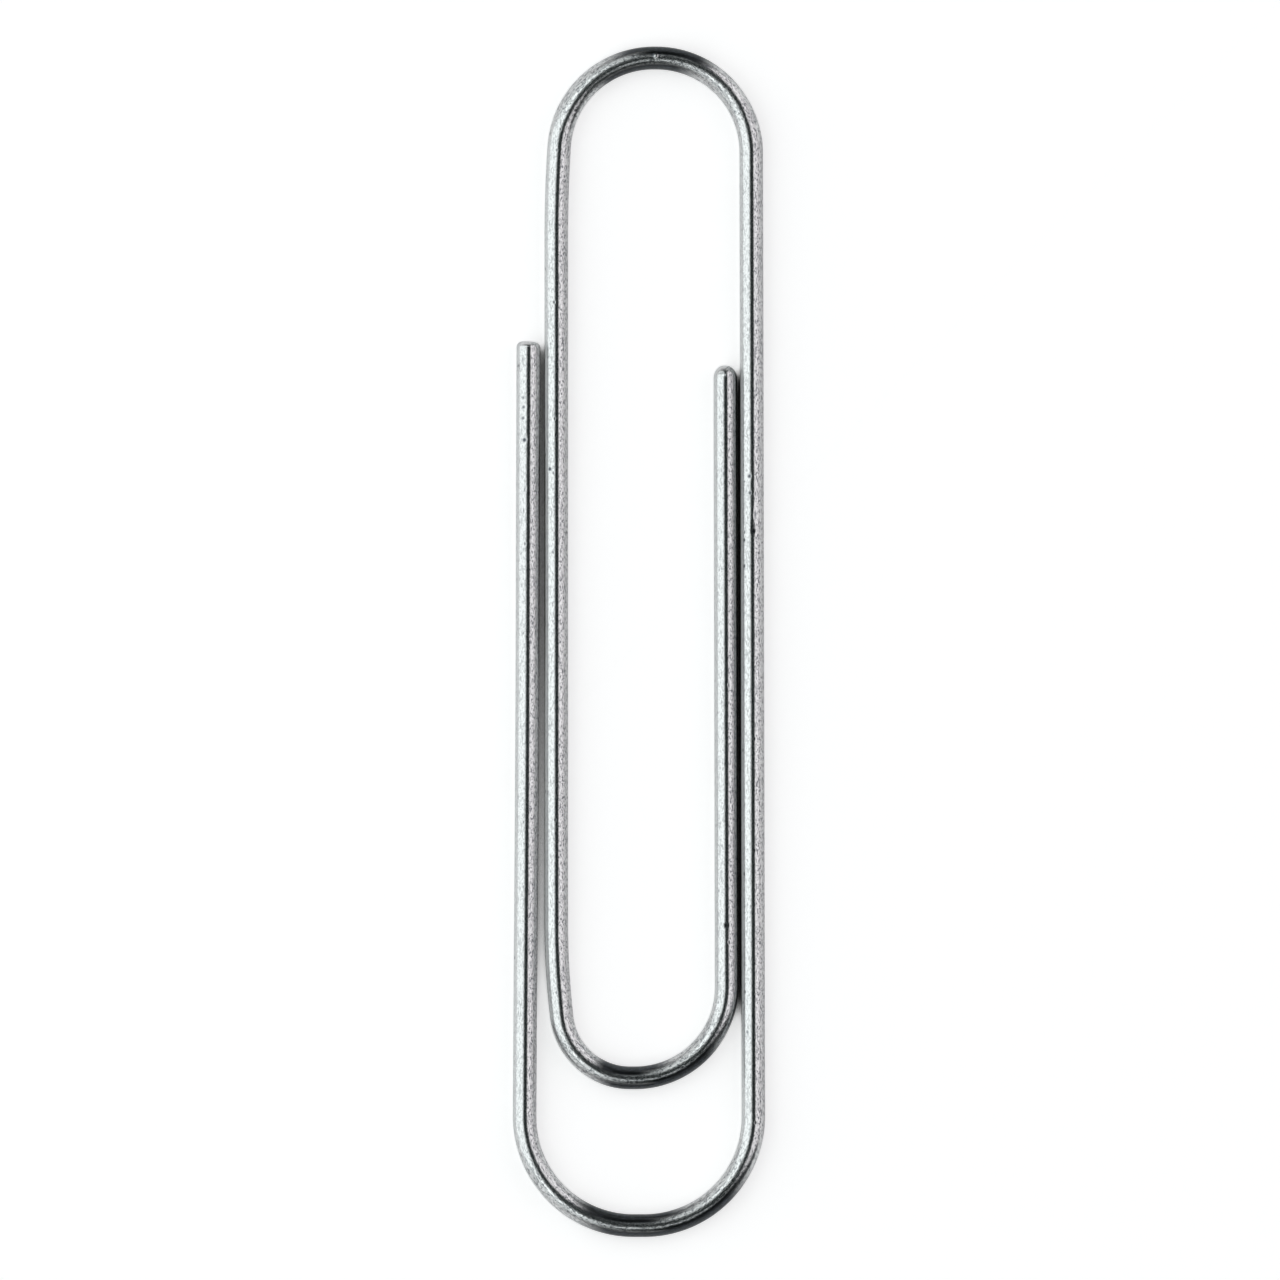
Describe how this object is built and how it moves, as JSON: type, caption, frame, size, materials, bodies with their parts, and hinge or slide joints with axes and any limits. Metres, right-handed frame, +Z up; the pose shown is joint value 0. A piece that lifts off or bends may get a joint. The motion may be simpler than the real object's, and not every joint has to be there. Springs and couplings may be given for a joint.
{
  "type": "paper clip",
  "caption": "Round-ended wire paper clip lying flat, with an outer loop and a springy inner tongue that lifts to hold sheets of paper.",
  "frame": {"origin": "middle of the clip's outline at its underside, on the surface that it lies on", "axes": "+Y along the clip towards the narrower top bend, +X towards the long leg, +Z up from the surface"},
  "size_m": [0.0106, 0.05, 0.001],
  "materials": {
    "plated_wire": "bright zinc plating over drawn steel wire, with fine lengthwise drawing marks and small pits"
  },
  "bodies": {
    "long_side": {"bottom_crown": "plated_wire", "bottom_bend_right": "plated_wire", "long_leg": "plated_wire", "top_bend_right": "plated_wire", "top_crown": "plated_wire"},
    "outer_arm": {"bottom_bend_left": "plated_wire", "outer_leg": "plated_wire"},
    "tongue": {"top_bend_left": "plated_wire", "tongue_left_leg": "plated_wire", "tongue_bend_left": "plated_wire", "tongue_crown": "plated_wire"},
    "tongue_arm": {"tongue_bend_right": "plated_wire", "tongue_right_leg": "plated_wire"}
  },
  "joints": [
    {"name": "tongue_lift", "type": "hinge", "parent": "long_side", "child": "tongue", "pos_m": [0.00062, 0.0245, 0.0005], "axis": [-1, 0, 0], "range_deg": [0, 12], "stiffness_Nm_per_rad": 0.34},
    {"name": "tongue_arm_lift", "type": "hinge", "parent": "tongue", "child": "tongue_arm", "pos_m": [-0.00017, -0.0183, 0.0005], "axis": [1, 0, 0], "range_deg": [0, 9], "stiffness_Nm_per_rad": 0.44},
    {"name": "outer_arm_lift", "type": "hinge", "parent": "long_side", "child": "outer_arm", "pos_m": [-0.00022, -0.0245, 0.0005], "axis": [1, 0, 0], "range_deg": [0, 12], "stiffness_Nm_per_rad": 0.34}
  ]
}
